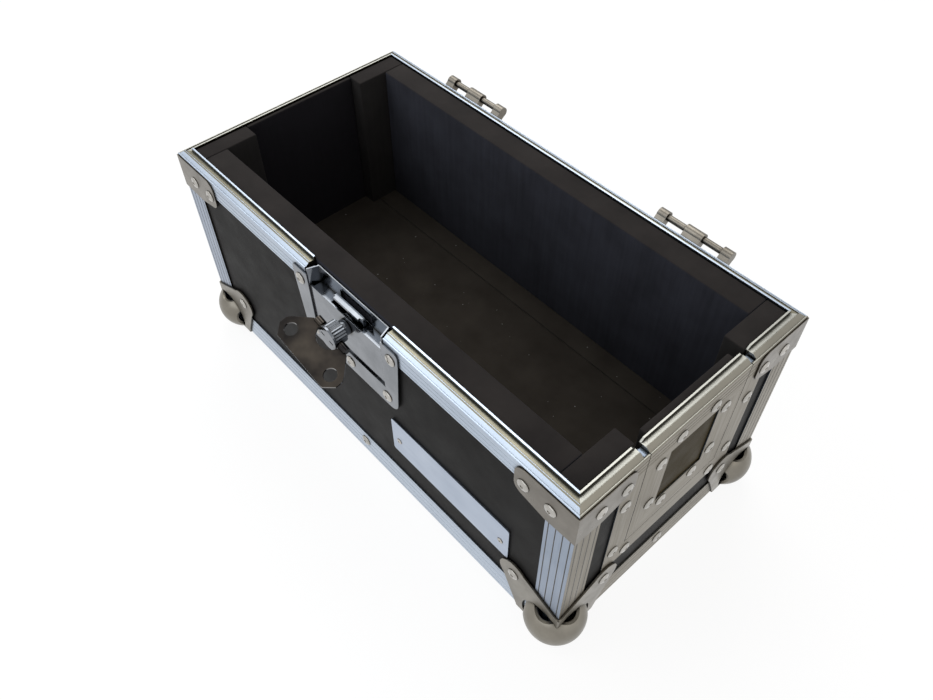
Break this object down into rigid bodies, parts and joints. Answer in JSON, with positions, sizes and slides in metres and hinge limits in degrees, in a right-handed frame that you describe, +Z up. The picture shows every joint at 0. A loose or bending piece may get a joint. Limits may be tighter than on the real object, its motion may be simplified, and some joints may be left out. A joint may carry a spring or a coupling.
{
  "type": "mixer case",
  "caption": "Open base of a small foam-lined flight case for an audio mixer, with a twist latch, lift-off hinge halves, ball corners and a lift-out end hatch.",
  "frame": {"origin": "centre of the whole object's box, on the surface that the ball corners stand on", "axes": "X along the case, +Y from the latch side to the hinge side, +Z up"},
  "size_m": [0.4404, 0.2638, 0.1932],
  "materials": {
    "laminated_plywood": "charcoal plastic laminate on plywood, fine even texture, half gloss",
    "aluminium_profile": "extruded and clear anodised, satin, with fine reeding",
    "nickel_plated_steel": "pressed sheet with bright nickel plating",
    "chrome_plated_steel": "pressed and turned parts with bright plating",
    "anodised_plate": "thin bare plate, satin",
    "closed_cell_foam": "black polyethylene foam with cut faces, matte"
  },
  "bodies": {
    "case": {"back_panel": "laminated_plywood", "ball_corner_back_left": "nickel_plated_steel", "ball_corner_back_right": "nickel_plated_steel", "ball_corner_front_left": "nickel_plated_steel", "ball_corner_front_right": "nickel_plated_steel", "bottom_panel": "laminated_plywood", "bottom_rail_back": "aluminium_profile", "bottom_rail_front": "aluminium_profile", "bottom_rail_left": "aluminium_profile", "bottom_rail_right": "aluminium_profile", "case_rivets": "nickel_plated_steel", "corner_angle_back_left": "aluminium_profile", "corner_angle_back_right": "aluminium_profile", "corner_angle_front_left": "aluminium_profile", "corner_angle_front_right": "aluminium_profile", "foam_back": "closed_cell_foam", "foam_base": "closed_cell_foam", "foam_block_back_left": "closed_cell_foam", "foam_block_back_right": "closed_cell_foam", "foam_block_front_left": "closed_cell_foam", "foam_block_front_right": "closed_cell_foam", "foam_floor_pad": "closed_cell_foam", "foam_floor_strip": "closed_cell_foam", "foam_front": "closed_cell_foam", "foam_left_lining": "closed_cell_foam", "front_panel": "laminated_plywood", "front_plate": "anodised_plate", "hatch_frame_back": "aluminium_profile", "hatch_frame_bottom": "aluminium_profile", "hatch_frame_front": "aluminium_profile", "hinge_leaf_left": "nickel_plated_steel", "hinge_leaf_right": "nickel_plated_steel", "hinge_pin_left": "nickel_plated_steel", "hinge_pin_right": "nickel_plated_steel", "latch_cover": "chrome_plated_steel", "latch_dish": "chrome_plated_steel", "left_panel": "laminated_plywood", "right_panel": "laminated_plywood", "rim_back": "aluminium_profile", "rim_front_left": "aluminium_profile", "rim_front_right": "aluminium_profile", "rim_left": "aluminium_profile", "rim_right_back": "aluminium_profile", "rim_right_front": "aluminium_profile", "top_brace_back_left": "nickel_plated_steel", "top_brace_back_right": "nickel_plated_steel", "top_brace_front_left": "nickel_plated_steel", "top_brace_front_right": "nickel_plated_steel"},
    "hatch": {"hatch_foam": "closed_cell_foam", "hatch_panel": "laminated_plywood", "hatch_rivets": "nickel_plated_steel", "hatch_strip_back": "aluminium_profile", "hatch_strip_bottom": "aluminium_profile", "hatch_strip_front": "aluminium_profile", "hatch_top_rail": "aluminium_profile"},
    "latch_cam": {"latch_cam": "chrome_plated_steel", "latch_wing_pin": "chrome_plated_steel"},
    "latch_wing": {"latch_wing": "chrome_plated_steel"},
    "latch_hook": {"latch_hook": "chrome_plated_steel"}
  },
  "joints": [
    {"name": "hatch_slide", "type": "slide", "parent": "case", "child": "hatch", "axis": [0, 0, 1], "range_m": [0, 0.105]},
    {"name": "latch_turn", "type": "hinge", "parent": "case", "child": "latch_cam", "pos_m": [0, -0.09329, 0.1647], "axis": [0, 1, 0], "range_deg": [-13.2, 166.8]},
    {"name": "wing_flip", "type": "hinge", "parent": "latch_cam", "child": "latch_wing", "pos_m": [0, -0.10509, 0.1647], "axis": [0.9736, 0, -0.2284], "range_deg": [-23.4, 75]},
    {"name": "hook_lift", "type": "slide", "parent": "case", "child": "latch_hook", "axis": [0, 0, 1], "range_m": [-0.0093, 0.00075]}
  ],
  "couplings": [
    {"joint": "hook_lift", "follows": "latch_turn", "m_per_rad": -0.0031831}
  ]
}
